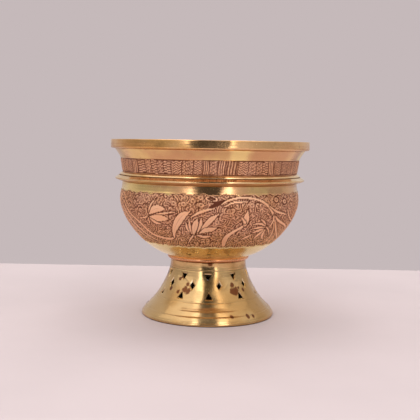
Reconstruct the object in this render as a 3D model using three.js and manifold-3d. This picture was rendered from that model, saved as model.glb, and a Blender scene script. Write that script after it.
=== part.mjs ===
// A footed brass bowl of the lota family: an open turned bowl with a heavy rim, standing on a
// pierced, flared foot. Millimetres, +Z up. The origin is the centre of the foot's ring, on the
// surface that the bowl stands on. Every piece is turned about Z, so each has a profile of
// radius and height, and the foot is then pierced.
import * as THREE from "three";
import { mergeVertices } from "three/addons/utils/BufferGeometryUtils.js";
import Module from "manifold-3d";

// Driving dimensions
const RIM_RADIUS = 57; // outside of the rim band
const RIM_TOP = 100.4; // height of the whole bowl
const RIM_BAND_HEIGHT = 5.1; // upright face of the rim band
const RIM_BORE = 50.4; // mouth of the bowl
const COVE_BOTTOM = 90.1; // plain hollow under the rim ends here, and the straight neck starts
const NECK_TOP_RADIUS = 51.5;
const NECK_BOTTOM = 82; // height of the neck's foot, on the waist flange
const NECK_BOTTOM_RADIUS = 50.2;
const FLANGE_RADIUS = 54.3; // tip of the waist flange's fin
const FLANGE_TIP = 78.3;
const FLANGE_TIP_THICKNESS = 0.7;
const FLANGE_BOTTOM = 76.9;
const BELLY_RADIUS = 51.5;
const BELLY_WIDEST = 67.2; // height of the widest ring of the belly
const BELLY_FOOT_RADIUS = 24.6; // where the belly meets the bead collar
const BELLY_FOOT = 35.2;
const BEAD_RADIUS = 23.5;
const FOOT_TOP = 32.3; // top of the pedestal
const FOOT_NECK_RADIUS = 21.8;
const FOOT_SHOULDER_RADIUS = 34.8;
const FOOT_SHOULDER = 5.6; // height of the shoulder above the foot's ring
const FOOT_RADIUS = 38.4;
const WALL = 1.8; // neck and belly
const FOOT_WALL = 2.4;
const FOOT_PLATE = 3; // thickness of the pedestal's top plate
const SPIGOT_RADIUS = 49.7; // the neck's and the belly's spigots, inside the waist flange
const BUTT_JOINT = 79.6; // height at which neck and belly meet behind the flange
const STUD_RADIUS = 2.9; // M6 stud that clamps the foot to the bowl
const STUD_CLEARANCE = 0.1;
const PIERCINGS_PER_ROW = 10;
const SEGMENTS = 48;
const SMALL_SEGMENTS = 24;

// Rows of piercings in the foot: height of the middle, width, height, the turn of the row in
// fractions of the pitch, and how many degrees each hole, cut by hand, lies off its even place.
// The outlines are unit shapes, 1 wide and 1 high.
const TRIANGLE_DOWN = [[-0.5, 0.5], [0, -0.5], [0.5, 0.5]];
const DIAMOND = [[-0.5, 0], [0, -0.5], [0.5, 0], [0, 0.5]];
const TRIANGLE_UP = [[-0.5, -0.5], [0.5, -0.5], [0, 0.5]];
const PIERCING_ROWS = [
  {
    outline: TRIANGLE_DOWN,
    middle: 24.5,
    width: 3.5,
    height: 3.3,
    turn: 0,
    offsets: [0, 2, 3, 1, -1, -2, 0, 1, 3, 1],
  },
  {
    outline: DIAMOND,
    middle: 20.1,
    width: 2.7,
    height: 4.1,
    turn: 0.5,
    offsets: [-3, 1, 2, -1, 1, 2, 0, -1, -1, -2.5],
  },
  {
    outline: TRIANGLE_UP,
    middle: 14.8,
    width: 3.4,
    height: 3.1,
    turn: 0,
    offsets: [1.5, 5, 5, 3, 2, 1, 0, 2, 5, 3.5],
  },
];

const wasm = await Module();
wasm.setup();

const point = (radius, height) => new THREE.Vector2(radius, height);

// A solid turned about Z. The profile runs anticlockwise seen with radius to the right and
// height up, and it closes on itself or starts and ends on the axis.
function turned(profile, segments = SEGMENTS) {
  return new THREE.LatheGeometry(profile, segments).rotateX(Math.PI / 2);
}

// Points of a cubic curve, both ends included.
function curve(from, fromHandle, toHandle, to, steps) {
  return new THREE.CubicBezierCurve(from, fromHandle, toHandle, to).getPoints(steps);
}

function closed(profile) {
  return [...profile, profile[0].clone()];
}

function toSolid(geometry) {
  const bare = geometry.clone();
  bare.deleteAttribute("normal");
  bare.deleteAttribute("uv");
  const merged = mergeVertices(bare, 1e-4);
  return new wasm.Manifold(
    new wasm.Mesh({
      numProp: 3,
      vertProperties: merged.attributes.position.array,
      triVerts: new Uint32Array(merged.index.array),
    }),
  );
}

function toGeometry(solid) {
  const mesh = solid.getMesh();
  return new THREE.BufferGeometry()
    .setAttribute("position", new THREE.BufferAttribute(mesh.vertProperties, 3))
    .setIndex(new THREE.BufferAttribute(mesh.triVerts, 1));
}

const RIM_BOTTOM = RIM_TOP - RIM_BAND_HEIGHT;
const REBATE_DEPTH = 2.2; // the neck's top edge stands this far up inside the rim band
const REBATE_RADIUS = 52.4;

// Heavy band round the mouth, with eased edges and a rebate underneath for the neck.
function rimBand() {
  const ease = 0.5;
  return turned(
    closed([
      point(REBATE_RADIUS, RIM_BOTTOM),
      point(RIM_RADIUS - 1.2, RIM_BOTTOM),
      point(RIM_RADIUS - 0.2, RIM_BOTTOM + 0.7),
      point(RIM_RADIUS, RIM_BOTTOM + 1.5),
      point(RIM_RADIUS, RIM_TOP - ease),
      point(RIM_RADIUS - ease, RIM_TOP),
      point(RIM_BORE + 1, RIM_TOP),
      point(RIM_BORE, RIM_TOP - 1),
      point(RIM_BORE, RIM_BOTTOM + REBATE_DEPTH),
      point(REBATE_RADIUS, RIM_BOTTOM + REBATE_DEPTH),
    ]),
  );
}

// Plain cove and slightly conical neck, with a spigot at each end.
function neckCollar() {
  const insideBottom = SPIGOT_RADIUS - WALL;
  const cove = curve(
    point(NECK_TOP_RADIUS, COVE_BOTTOM),
    point(NECK_TOP_RADIUS + 0.4, COVE_BOTTOM + 2.4),
    point(RIM_RADIUS - 4.4, RIM_BOTTOM - 0.9),
    point(RIM_RADIUS - 2.6, RIM_BOTTOM - 0.3),
    3,
  );
  return turned(
    closed([
      point(SPIGOT_RADIUS, BUTT_JOINT),
      point(SPIGOT_RADIUS, NECK_BOTTOM),
      point(NECK_BOTTOM_RADIUS, NECK_BOTTOM),
      ...cove,
      point(RIM_RADIUS - 2.6, RIM_BOTTOM),
      point(REBATE_RADIUS, RIM_BOTTOM),
      point(REBATE_RADIUS, RIM_BOTTOM + REBATE_DEPTH),
      point(RIM_BORE, RIM_BOTTOM + REBATE_DEPTH),
      point(NECK_TOP_RADIUS - WALL, COVE_BOTTOM),
      point(insideBottom, NECK_BOTTOM),
      point(insideBottom, BUTT_JOINT),
    ]),
  );
}

// Wedge-shaped fin that covers the joint between the neck and the belly.
function waistFlange() {
  return turned(
    closed([
      point(SPIGOT_RADIUS, FLANGE_BOTTOM),
      point(NECK_BOTTOM_RADIUS + 0.3, FLANGE_BOTTOM),
      point(FLANGE_RADIUS - 0.2, FLANGE_TIP - 0.3),
      point(FLANGE_RADIUS, FLANGE_TIP),
      point(FLANGE_RADIUS, FLANGE_TIP + FLANGE_TIP_THICKNESS),
      point(FLANGE_RADIUS - 2.4, FLANGE_TIP + 2),
      point(FLANGE_RADIUS - 3.6, NECK_BOTTOM - 0.5),
      point(NECK_BOTTOM_RADIUS, NECK_BOTTOM),
      point(SPIGOT_RADIUS, NECK_BOTTOM),
    ]),
  );
}

const BOSS_RADIUS = 20;
const BOSS_HOLE_DEPTH = 4;
const FLOOR = 38.2; // height of the bowl's inside floor, in the middle

// Open belly on a boss. The boss passes through the bead collar and sits on the foot, and a
// blind hole in it holds the stud.
function bellyBowl() {
  const top = point(NECK_BOTTOM_RADIUS, FLANGE_BOTTOM);
  const widest = point(BELLY_RADIUS, BELLY_WIDEST);
  const bottom = point(BELLY_FOOT_RADIUS, BELLY_FOOT);
  const upper = curve(
    widest,
    point(BELLY_RADIUS, BELLY_WIDEST + 3.5),
    point(top.x, top.y - 3.5),
    top,
    4,
  );
  const lower = curve(
    bottom,
    point(BELLY_FOOT_RADIUS + 13, BELLY_FOOT + 4),
    point(BELLY_RADIUS, BELLY_WIDEST - 11.6),
    widest,
    10,
  );
  const inside = curve(
    point(BELLY_RADIUS - WALL, BELLY_WIDEST),
    point(BELLY_RADIUS - WALL, BELLY_WIDEST - 12),
    point(BELLY_FOOT_RADIUS + 12, FLOOR),
    point(BOSS_RADIUS - 8, FLOOR),
    9,
  );
  const hole = STUD_RADIUS + STUD_CLEARANCE;
  return turned([
    point(0, FOOT_TOP + BOSS_HOLE_DEPTH),
    point(hole, FOOT_TOP + BOSS_HOLE_DEPTH),
    point(hole, FOOT_TOP),
    point(BOSS_RADIUS, FOOT_TOP),
    point(BOSS_RADIUS, BELLY_FOOT),
    ...lower,
    ...upper.slice(1),
    point(SPIGOT_RADIUS, FLANGE_BOTTOM),
    point(SPIGOT_RADIUS, BUTT_JOINT),
    point(SPIGOT_RADIUS - WALL, BUTT_JOINT),
    point(SPIGOT_RADIUS - WALL, FLANGE_BOTTOM - 1),
    ...inside,
    point(0, FLOOR),
  ]);
}

// Round bead between the belly and the foot, slipped over the boss.
function baseCollar() {
  const bore = BOSS_RADIUS + STUD_CLEARANCE;
  const bead = curve(
    point(FOOT_NECK_RADIUS, FOOT_TOP),
    point(BEAD_RADIUS + 0.6, FOOT_TOP + 0.3),
    point(BEAD_RADIUS + 0.6, BELLY_FOOT - 0.5),
    point(BEAD_RADIUS - 0.9, BELLY_FOOT),
    5,
  );
  return turned(closed([point(bore, FOOT_TOP), ...bead, point(bore, BELLY_FOOT)]));
}

// One piercing's cutter: its outline extruded outwards from inside the foot, level.
function piercingCutter(row, index) {
  const reachFrom = FOOT_NECK_RADIUS - 5;
  const reachTo = FOOT_RADIUS;
  const shape = new THREE.Shape(
    row.outline.map(([x, y]) => point(x * row.width, y * row.height)),
  );
  const evenAngle = ((index + row.turn) * 360) / PIERCINGS_PER_ROW;
  const angle = THREE.MathUtils.degToRad(evenAngle + row.offsets[index]);
  return new THREE.ExtrudeGeometry(shape, { depth: reachTo - reachFrom, bevelEnabled: false })
    .translate(0, 0, reachFrom)
    .rotateX(Math.PI / 2)
    .translate(0, 0, row.middle)
    .rotateZ(angle);
}

// Hollow flared foot, closed by a top plate with a clearance hole, pierced all round.
function piercedPedestal() {
  const outside = curve(
    point(FOOT_SHOULDER_RADIUS, FOOT_SHOULDER),
    point(FOOT_SHOULDER_RADIUS - 7.4, FOOT_SHOULDER + 7.1),
    point(FOOT_NECK_RADIUS, FOOT_TOP - 7.7),
    point(FOOT_NECK_RADIUS, FOOT_TOP - 1.3),
    7,
  );
  const inside = curve(
    point(FOOT_NECK_RADIUS - FOOT_WALL, FOOT_TOP - FOOT_PLATE),
    point(FOOT_NECK_RADIUS - FOOT_WALL, FOOT_TOP - 8.7),
    point(FOOT_SHOULDER_RADIUS - 9.6, FOOT_SHOULDER + 5.7),
    point(FOOT_SHOULDER_RADIUS - 1.8, FOOT_SHOULDER - 2),
    6,
  );
  const hole = STUD_RADIUS + STUD_CLEARANCE;
  const body = turned(
    closed([
      point(FOOT_RADIUS - 3.2, 0),
      point(FOOT_RADIUS - 0.4, 0),
      point(FOOT_RADIUS, 1),
      point(FOOT_RADIUS - 0.5, 2.4),
      point(FOOT_RADIUS - 1.9, 4.2),
      ...outside,
      point(FOOT_NECK_RADIUS, FOOT_TOP),
      point(hole, FOOT_TOP),
      point(hole, FOOT_TOP - FOOT_PLATE),
      ...inside,
      point(FOOT_RADIUS - 3.2, 1.5),
    ]),
  );
  let solid = toSolid(body);
  for (const row of PIERCING_ROWS) {
    for (let index = 0; index < PIERCINGS_PER_ROW; index += 1) {
      solid = solid.subtract(toSolid(piercingCutter(row, index)));
    }
  }
  return toGeometry(solid);
}

const NUT_THICKNESS = 5;
const NUT_ACROSS_FLATS = 10;
const WASHER_THICKNESS = 1.4;
const WASHER_RADIUS = 8;
const WASHER_TOP = FOOT_TOP - FOOT_PLATE;
const NUT_TOP = WASHER_TOP - WASHER_THICKNESS;

// Stud that clamps the foot, the collar and the bowl together.
function fixingStud() {
  const top = FOOT_TOP + BOSS_HOLE_DEPTH;
  const bottom = NUT_TOP - NUT_THICKNESS - 1.6;
  const ease = 0.5;
  return turned(
    [
      point(0, bottom),
      point(STUD_RADIUS - ease, bottom),
      point(STUD_RADIUS, bottom + ease),
      point(STUD_RADIUS, top),
      point(0, top),
    ],
    SMALL_SEGMENTS,
  );
}

function fixingWasher() {
  const hole = STUD_RADIUS + 2 * STUD_CLEARANCE;
  return turned(
    closed([
      point(hole, NUT_TOP),
      point(WASHER_RADIUS, NUT_TOP),
      point(WASHER_RADIUS, WASHER_TOP),
      point(hole, WASHER_TOP),
    ]),
    SMALL_SEGMENTS,
  );
}

// Hexagon nut: an extruded hexagon with a round hole.
function fixingNut() {
  const corner = NUT_ACROSS_FLATS / 2 / Math.cos(Math.PI / 6);
  const shape = new THREE.Shape();
  for (let side = 0; side < 6; side += 1) {
    const angle = (side * Math.PI) / 3;
    const [x, y] = [corner * Math.cos(angle), corner * Math.sin(angle)];
    if (side === 0) shape.moveTo(x, y);
    else shape.lineTo(x, y);
  }
  shape.closePath();
  const hole = new THREE.Path();
  hole.absarc(0, 0, STUD_RADIUS + 2 * STUD_CLEARANCE, 0, 2 * Math.PI, true);
  shape.holes.push(hole);
  return new THREE.ExtrudeGeometry(shape, {
    depth: NUT_THICKNESS,
    bevelEnabled: false,
    curveSegments: SMALL_SEGMENTS / 2,
  }).translate(0, 0, NUT_TOP - NUT_THICKNESS);
}

function piece(name, geometry, color, roughness) {
  const material = new THREE.MeshStandardMaterial({ color, roughness, metalness: 1 });
  const mesh = new THREE.Mesh(geometry, material);
  mesh.name = name;
  return mesh;
}

const POLISHED_BRASS = 0xcd9b64;
const COPPERED_BRASS = 0xb27d5d;
const PINK_BRASS = 0xc98a60;
const PALE_BRASS = 0xc89f68;
const STEEL = 0xb9b9b4;

const bowl = new THREE.Group();
bowl.add(
  piece("rim_band", rimBand(), POLISHED_BRASS, 0.22),
  piece("neck_collar", neckCollar(), COPPERED_BRASS, 0.35),
  piece("waist_flange", waistFlange(), POLISHED_BRASS, 0.25),
  piece("belly_bowl", bellyBowl(), COPPERED_BRASS, 0.4),
  piece("base_collar", baseCollar(), PINK_BRASS, 0.3),
  piece("pierced_pedestal", piercedPedestal(), PALE_BRASS, 0.25),
  piece("fixing_stud", fixingStud(), PALE_BRASS, 0.4),
  piece("fixing_washer", fixingWasher(), STEEL, 0.45),
  piece("fixing_nut", fixingNut(), STEEL, 0.4),
);

export default bowl;
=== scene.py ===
import math

import bmesh
import bpy
import numpy as np
from mathutils import Matrix, Vector


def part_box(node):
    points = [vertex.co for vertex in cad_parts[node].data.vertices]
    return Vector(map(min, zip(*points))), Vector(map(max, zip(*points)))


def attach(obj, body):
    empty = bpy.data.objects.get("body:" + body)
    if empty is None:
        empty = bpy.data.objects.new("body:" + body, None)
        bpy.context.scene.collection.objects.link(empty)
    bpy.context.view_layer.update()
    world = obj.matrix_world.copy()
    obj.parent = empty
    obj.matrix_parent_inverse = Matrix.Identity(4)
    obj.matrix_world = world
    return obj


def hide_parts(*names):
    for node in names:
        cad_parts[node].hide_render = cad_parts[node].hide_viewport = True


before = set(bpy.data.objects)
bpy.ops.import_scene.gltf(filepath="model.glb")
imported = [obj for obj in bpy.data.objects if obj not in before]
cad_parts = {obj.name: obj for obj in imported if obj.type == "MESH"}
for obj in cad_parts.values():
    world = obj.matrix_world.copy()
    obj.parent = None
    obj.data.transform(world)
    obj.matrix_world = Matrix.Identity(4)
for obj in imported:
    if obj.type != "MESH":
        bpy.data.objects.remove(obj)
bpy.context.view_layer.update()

MM = 0.001
DEGREE = math.pi / 180


def span(node):
    """Lowest height, highest height and outer radius of a turned CAD node, in millimetres."""
    low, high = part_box(node)
    return low.z / MM, high.z / MM, high.x / MM


RIM_BOTTOM, RIM_TOP, RIM_RADIUS = span("rim_band")
BUTT_JOINT, NECK_TOP, COVE_RADIUS = span("neck_collar")
FLANGE_BOTTOM, NECK_BOTTOM, FLANGE_RADIUS = span("waist_flange")
FOOT_TOP, _, BELLY_RADIUS = span("belly_bowl")
_, BELLY_FOOT, BEAD_RADIUS = span("base_collar")
_, _, FOOT_RADIUS = span("pierced_pedestal")
STUD_BOTTOM, STUD_TOP, STUD_RADIUS = span("fixing_stud")
WASHER_BOTTOM, WASHER_TOP, WASHER_RADIUS = span("fixing_washer")
NUT_BOTTOM, NUT_TOP, NUT_CORNER = span("fixing_nut")

RIM_BORE = RIM_RADIUS - 6.6
COVE_BOTTOM = RIM_BOTTOM - 5.2
NECK_TOP_RADIUS = RIM_RADIUS - 5.5
NECK_BOTTOM_RADIUS = FLANGE_RADIUS - 4.1
SPIGOT_RADIUS = FLANGE_RADIUS - 4.6
REBATE_RADIUS = RIM_RADIUS - 4.6
WALL = 1.8  # of the neck and the belly
SPIGOT_BORE = SPIGOT_RADIUS - WALL
BELLY_BORE = BELLY_RADIUS - WALL
BELLY_WIDEST = FLANGE_BOTTOM - 9.7
BAND_TOP = FLANGE_BOTTOM - 4.2  # the belly's engraving lies between these two heights
BAND_BOTTOM = BELLY_FOOT + 7.6
BELLY_FOOT_RADIUS = BEAD_RADIUS + 1
BOSS_RADIUS = 20
FLOOR = FOOT_TOP + 5.9  # of the bowl's inside
FOOT_NECK_RADIUS = BOSS_RADIUS + 1.8
SHOULDER = 5.6  # where the foot's flare starts
SHOULDER_RADIUS = FOOT_RADIUS - 3.6
FOOT_BORE = FOOT_NECK_RADIUS - 2.4
BOLT_HOLE = STUD_RADIUS + 0.1
LOW_LINE, HIGH_LINE = 11.5, FOOT_TOP - 4.4  # dark lines under and over the foot's piercings
PIERCINGS_PER_ROW = 10
COLUMNS = 264  # round a plain piece
ENGRAVED_COLUMNS = 4 * COLUMNS
RANDOM = np.random.default_rng(11)


# ---- outlines

def bezier(start, start_handle, end_handle, end, step=0.5):
    """Points of a cubic curve about step millimetres apart, both ends included."""
    a, b, c, d = (np.array(p, float) for p in (start, start_handle, end_handle, end))
    length = np.linalg.norm(b - a) + np.linalg.norm(c - b) + np.linalg.norm(d - c)
    t = np.linspace(0, 1, max(4, round(length / step)))[:, None]
    return (1 - t) ** 3 * a + 3 * (1 - t) ** 2 * t * b + 3 * (1 - t) * t * t * c + t**3 * d


def corner(before, point, after, radius):
    """An arc-like rounding of one corner, with a close point beyond each of its ends."""
    point = np.array(point, float)
    arms = [np.array(other, float) - point for other in (before, after)]
    lengths = [np.linalg.norm(arm) for arm in arms]
    cut = min(radius, *(0.45 * length for length in lengths))
    first, last = (point + arm / length * cut for arm, length in zip(arms, lengths))
    t = np.linspace(0, 1, 5)[:, None]
    arc = (1 - t) ** 2 * first + 2 * (1 - t) * t * point + t * t * last
    outer = [p + (p - point) / cut * min(0.12, 0.1 * length)
             for p, length in zip((first, last), lengths)]
    return np.vstack([outer[0], arc, outer[1]])


def outline(*parts, closed=True):
    """Joins curves, sharp corners (radius, height) and rounded ones (radius, height, rounding)."""
    points = []
    for part in parts:
        part = np.atleast_2d(np.array(part, float))
        rounding = part[0, 2] if part.shape[1] == 3 else 0
        points += [(p[0], p[1], rounding) for p in part]
    made = []
    for i, (r, z, rounding) in enumerate(points):
        inner = closed or 0 < i < len(points) - 1
        if rounding and inner:
            after = points[(i + 1) % len(points)]
            made.append(corner(points[i - 1][:2], (r, z), after[:2], rounding))
        else:
            made.append([(r, z)])
    return np.vstack(made)


def normals_of(points):
    """Unit normals of an outline, to its right as it runs: outwards for a turned piece."""
    along = np.gradient(points, axis=0)
    along /= np.linalg.norm(along, axis=1)[:, None] + 1e-12
    return np.stack([along[:, 1], -along[:, 0]], 1)


def scored(points, grooves):
    """The outline with grooves (height, depth, width) turned into it."""
    depth = sum(d * np.exp(-(((points[:, 1] - z) / w) ** 2)) for z, d, w in grooves)
    return points - normals_of(points) * depth[:, None]


# ---- turned meshes

class Rings:
    """Rings of points round the axis, in the order in which a turned piece joins them.

    relief is 1 on the metal's own surface and less in cuts and under painted shade, engraved is 1 where
    the metal is engraved, and plain is 1 on the smooth stems and leaves inside an engraving.
    """

    def __init__(self, columns=COLUMNS):
        self.columns = columns
        self.points = []
        self.marks = {"relief": [], "plain": [], "engraved": []}

    def add(self, radius, height, relief=1.0, plain=1.0, engraved=0.0):
        """Adds a ring, or one point on the axis. Each value is a number or one for each column."""
        columns = max(np.size(radius), np.size(relief))
        if columns == 1 and radius > 0:
            columns = self.columns
        angle = 2 * math.pi * np.arange(columns) / columns
        even = np.ones(columns)
        place = (radius * np.sin(angle), -radius * np.cos(angle), height * even)
        self.points.append(np.stack(place, 1))
        for name, value in (("relief", relief), ("plain", plain), ("engraved", engraved)):
            self.marks[name].append(value * even)

    def add_all(self, points):
        """Adds an even ring for each (radius, height)."""
        for radius, height in points:
            self.add(radius, height)


def strip(low, n_low, high, n_high):
    """Faces between two rings, whose columns are equal, or whole multiples of each other."""
    if n_low == n_high:
        j = np.arange(n_low)
        k = (j + 1) % n_low
        return [np.stack([low + j, low + k, high + k, high + j], 1)]
    flip = n_low > n_high
    coarse, n_coarse, fine, n_fine = (
        (high, n_high, low, n_low) if flip else (low, n_low, high, n_high)
    )
    ratio = n_fine // n_coarse
    t = np.arange(n_fine)
    owner = (t // ratio + (t % ratio >= (ratio + 1) // 2)) % n_coarse
    fans = np.stack([coarse + owner, fine + (t + 1) % n_fine, fine + t], 1)
    if n_coarse == 1:
        made = [fans]
    else:
        j = np.arange(n_coarse)
        middle = fine + j * ratio + (ratio + 1) // 2
        made = [fans, np.stack([coarse + j, coarse + (j + 1) % n_coarse, middle], 1)]
    return [faces[:, ::-1] for faces in made] if flip else made


def turned(name, rings, closed=True):
    """A mesh object from rings. A closed piece joins its last ring to its first."""
    counts = [len(p) for p in rings.points]
    starts = np.concatenate([[0], np.cumsum(counts)])
    faces = []
    pairs = list(zip(range(len(counts) - 1), range(1, len(counts))))
    if closed:
        pairs.append((len(counts) - 1, 0))
    for a, b in pairs:
        for block in strip(starts[a], counts[a], starts[b], counts[b]):
            faces += block.tolist()
    mesh = bpy.data.meshes.new(name)
    mesh.from_pydata((np.vstack(rings.points) * MM).tolist(), [], faces)
    mesh.validate()
    mesh.polygons.foreach_set("use_smooth", np.ones(len(mesh.polygons), bool))
    for mark, values in rings.marks.items():
        write_attribute(mesh, mark, np.concatenate(values))
    return add_object(name, mesh)


def add_object(name, data):
    """A new object in the scene."""
    made = bpy.data.objects.new(name, data)
    bpy.context.scene.collection.objects.link(made)
    return made


def write_attribute(mesh, name, values):
    """Stores one value for each vertex, under a name that the materials read."""
    attribute = mesh.attributes.get(name) or mesh.attributes.new(name, "FLOAT", "POINT")
    attribute.data.foreach_set("value", np.asarray(values, np.float32))


def places(mesh):
    """Every vertex of a mesh: azimuth in degrees from the front, radius and height in mm."""
    co = np.zeros(len(mesh.vertices) * 3)
    mesh.vertices.foreach_get("co", co)
    x, y, z = co.reshape(-1, 3).T / MM
    return np.degrees(np.arctan2(x, -y)), np.hypot(x, y), z


def settle(piece, node, material):
    """Finishes a piece: hangs it from the root body, gives it its material in a new slot, and hides the
    CAD node it stands for.

    Surfaces that face the axis or straight up are duller, which is stored too.
    """
    dull = []
    for vertex in piece.data.vertices:
        outwards = Vector((vertex.co.x, vertex.co.y, 0)).normalized()
        dull.append(vertex.normal.dot(outwards) < -0.3 or vertex.normal.z > 0.97)
    write_attribute(piece.data, "dull", dull)
    piece.data.materials.append(material)
    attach(piece, "root")
    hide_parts(node)


# ---- relief of the belly

class Engraving:
    """A sheet of relief, 1 on the raised surface and 0 at the bottom of the ground.

    Its rows run down the surface in millimetres of arc, and its columns round it in degrees.
    """

    def __init__(self, degrees, arc, radius):
        self.turn, self.down = np.meshgrid(degrees, arc)
        self.scale = np.repeat((radius * DEGREE)[:, None], len(degrees), 1)
        self.height = np.full(self.turn.shape, 0.5)
        self.plain = np.zeros(self.turn.shape)
        self.engraved = np.ones(self.turn.shape)

    def border(self, edge, inwards):
        """Ends the engraving at a wavering line, with a cut along it and plain metal beyond."""
        wander = 0.35 * np.sin(self.turn * DEGREE * 26) + 0.3 * np.sin(self.turn * DEGREE * 58 + 2)
        past = (self.down - edge) * inwards - 0.55 - wander
        self.height = np.where(past < 0.25, 0.25, self.height)
        self.engraved = np.where(past < 0, 0, self.engraved)
        self.height = np.where(past < -0.1, 1, self.height)

    def offsets(self, turn, down):
        """Millimetres from a place to every point. The design comes again after 180 degrees."""
        apart = (self.turn - turn + 90) % 180 - 90
        return apart * self.scale, self.down - down

    def mark(self, turn, down, size, tilt, kind):
        """A punched mark: a hook, a ring, or a few short bars."""
        x, y = self.offsets(turn, down)
        near = np.hypot(x, y) < size * 1.25
        x, y = x[near], y[near]
        x, y = x * math.cos(tilt) + y * math.sin(tilt), y * math.cos(tilt) - x * math.sin(tilt)
        away = np.hypot(x, y) / size
        if kind == "bars":
            wave = np.cos(2 * math.pi * (x + 0.12 * y * y) / 1.2) * (np.abs(y) < 0.85 * size)
        elif kind == "ring":
            wave = -np.cos(2 * math.pi * np.hypot(x * 0.8, y) / 1.7)
        else:
            open_side = np.clip(1.6 - np.abs(np.arctan2(y, x)) * 1.5, 0, 1)
            wave = -np.cos(2 * math.pi * away * size / 1.75) * (1 - 1.6 * open_side)
        fade = np.clip((1.25 - away) / 0.25, 0, 1)
        self.height[near] = np.clip(self.height[near] * (1 - fade) + fade * (0.5 + 0.5 * wave), 0, 1)

    def stroke(self, path, widths, vein=0.0, level=1.0, moat=0.5):
        """A raised stem or leaf along a path of (degrees, mm down), with its own half widths.

        vein cuts a line along its middle, and moat is the width of the ground that is cut
        away round it. A level of 0 makes a sunk leaf.
        """
        path = np.array(path, float)
        t = np.linspace(0, 1, 12 * len(path) + 1)
        turn, down = (smooth(path[:, k], t) for k in (0, 1))
        half = np.maximum(np.interp(t, np.linspace(0, 1, len(widths)), widths), 0.05)
        half = np.convolve(np.pad(half, 3, "edge"), np.ones(7) / 7, "valid")
        best = np.full(self.turn.shape, 1e9)
        where = np.zeros(self.turn.shape)
        for place in zip(turn, down, half):
            x, y = self.offsets(place[0], place[1])
            away = np.hypot(x, y)
            closer = away - place[2] < best
            best[closer] = (away - place[2])[closer]
            where[closer] = (away / place[2])[closer]
        inside = best < 0
        edge = (best >= 0) & (best < moat)
        self.height[edge] *= 0.1 + 0.5 * best[edge] / moat
        self.plain[edge] = 0
        share = where[inside]
        veins = np.exp(-((share / 0.2) ** 2)) + 0.5 * np.exp(-(((share - 0.6) / 0.16) ** 2))
        body = level * (1 - 0.2 * share**2 - vein * veins)
        self.height[inside] = body
        self.plain[inside] = level


def smooth(values, t):
    """Catmull-Rom interpolation of evenly spaced values."""
    padded = np.concatenate([[2 * values[0] - values[1]], values, [2 * values[-1] - values[-2]]])
    n = len(values) - 1
    i = np.clip((t * n).astype(int), 0, n - 1)
    u = t * n - i
    p0, p1, p2, p3 = (padded[i + k] for k in range(4))
    return 0.5 * (
        2 * p1 + (p2 - p0) * u + (2 * p0 - 5 * p1 + 4 * p2 - p3) * u**2
        + (3 * p1 - p0 - 3 * p2 + p3) * u**3
    )


# Stems and leaves as paths of (degrees round, mm down) with half widths in mm. The design
# fills a half turn and comes twice round the belly.
STEMS = (
    # left vine and the lines that run beside it
    (((-67, 6), (-60, 13), (-55, 16), (-51, 18.6), (-47.5, 22.4), (-43.5, 25.6), (-37, 27.2),
      (-30, 28), (-26, 27)), (0.5, 0.6, 0.7, 0.8, 0.8, 0.8, 0.9, 0.9, 0.6)),
    (((-70, 9), (-64, 15.5), (-58, 21), (-52, 26), (-45, 29.5), (-38, 31)), (0.5, 0.7, 0.7, 0.5, 0.2)),
    (((-73, 14), (-67, 20), (-60, 25.5), (-53, 29.8), (-46, 32.4)), (0.4, 0.6, 0.6, 0.4, 0.2)),
    (((-68, 1), (-63, 6), (-58, 9.5)), (0.5, 0.5, 0.2)),
    (((-41, 13.4), (-45, 14.6), (-50, 15.2)), (0.3, 0.5, 0.2)),
    (((-41, 14.2), (-41.4, 17.6)), (0.35, 0.4)),
    # top vine from the middle cluster over to the fan
    (((-11, 12.6), (-7, 10.4), (-2.5, 8.6), (3, 7.4)), (0.2, 0.7, 0.8, 0.3)),
    (((7, 5.4), (10, 3.6), (14, 2.3), (20, 1.6), (27, 2.2), (33, 3.8), (37.5, 6.4), (41, 9.4),
      (44, 12.4)), (0.2, 0.5, 0.5, 0.6, 0.6, 0.6, 0.6, 0.7, 0.6)),
    (((9, 6.4), (13.5, 4.5), (19, 4), (24, 3.6)), (0.3, 0.5, 0.4, 0.15)),
    # fan
    (((39, 6.6), (44, 9.2), (50, 10.8), (57, 12)), (0.3, 0.6, 0.6, 0.3)),
    (((43.5, 11.6), (49, 14.8), (55, 17), (64, 19.6), (72, 23)), (0.4, 0.7, 0.7, 0.6, 0.4)),
    (((45, 13.6), (49.4, 18.4), (54, 22.4), (60, 25.8), (68, 29.4)), (0.4, 0.7, 0.7, 0.6, 0.4)),
    (((44, 12.4), (44.8, 15.6), (43.6, 19.4)), (0.5, 0.6, 0.3)),
    (((46.2, 16.6), (49.6, 21.6), (51.6, 26.4), (50.2, 31.4)), (0.3, 0.5, 0.6, 0.4)),
    (((55, 23.6), (58, 28), (57, 32.6)), (0.3, 0.5, 0.3)),
    (((57, 9), (62, 13), (69, 16), (76, 17)), (0.3, 0.5, 0.5, 0.3)),
    (((40.4, 18.8), (44, 21), (48, 24.6)), (0.35, 0.5, 0.3)),
    # bud's stem and the middle cluster's stem
    (((11.6, 31.6), (11.6, 27.5), (13, 24.2), (16.4, 21.4), (20.2, 19), (23, 17.2)),
     (1.0, 1.4, 1.2, 0.9, 0.8, 0.7)),
    (((-10.4, 23.8), (-12.5, 26.6), (-15.6, 30.6)), (0.4, 0.5, 0.25)),
    # filler that joins one half to the next
    (((72, 27), (82, 22), (92, 14), (101, 7), (110, 1.5)), (0.5, 0.7, 0.8, 0.7, 0.5)),
    (((84, 21), (92, 26.5), (101, 30)), (0.4, 0.6, 0.3)),
)
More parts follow.
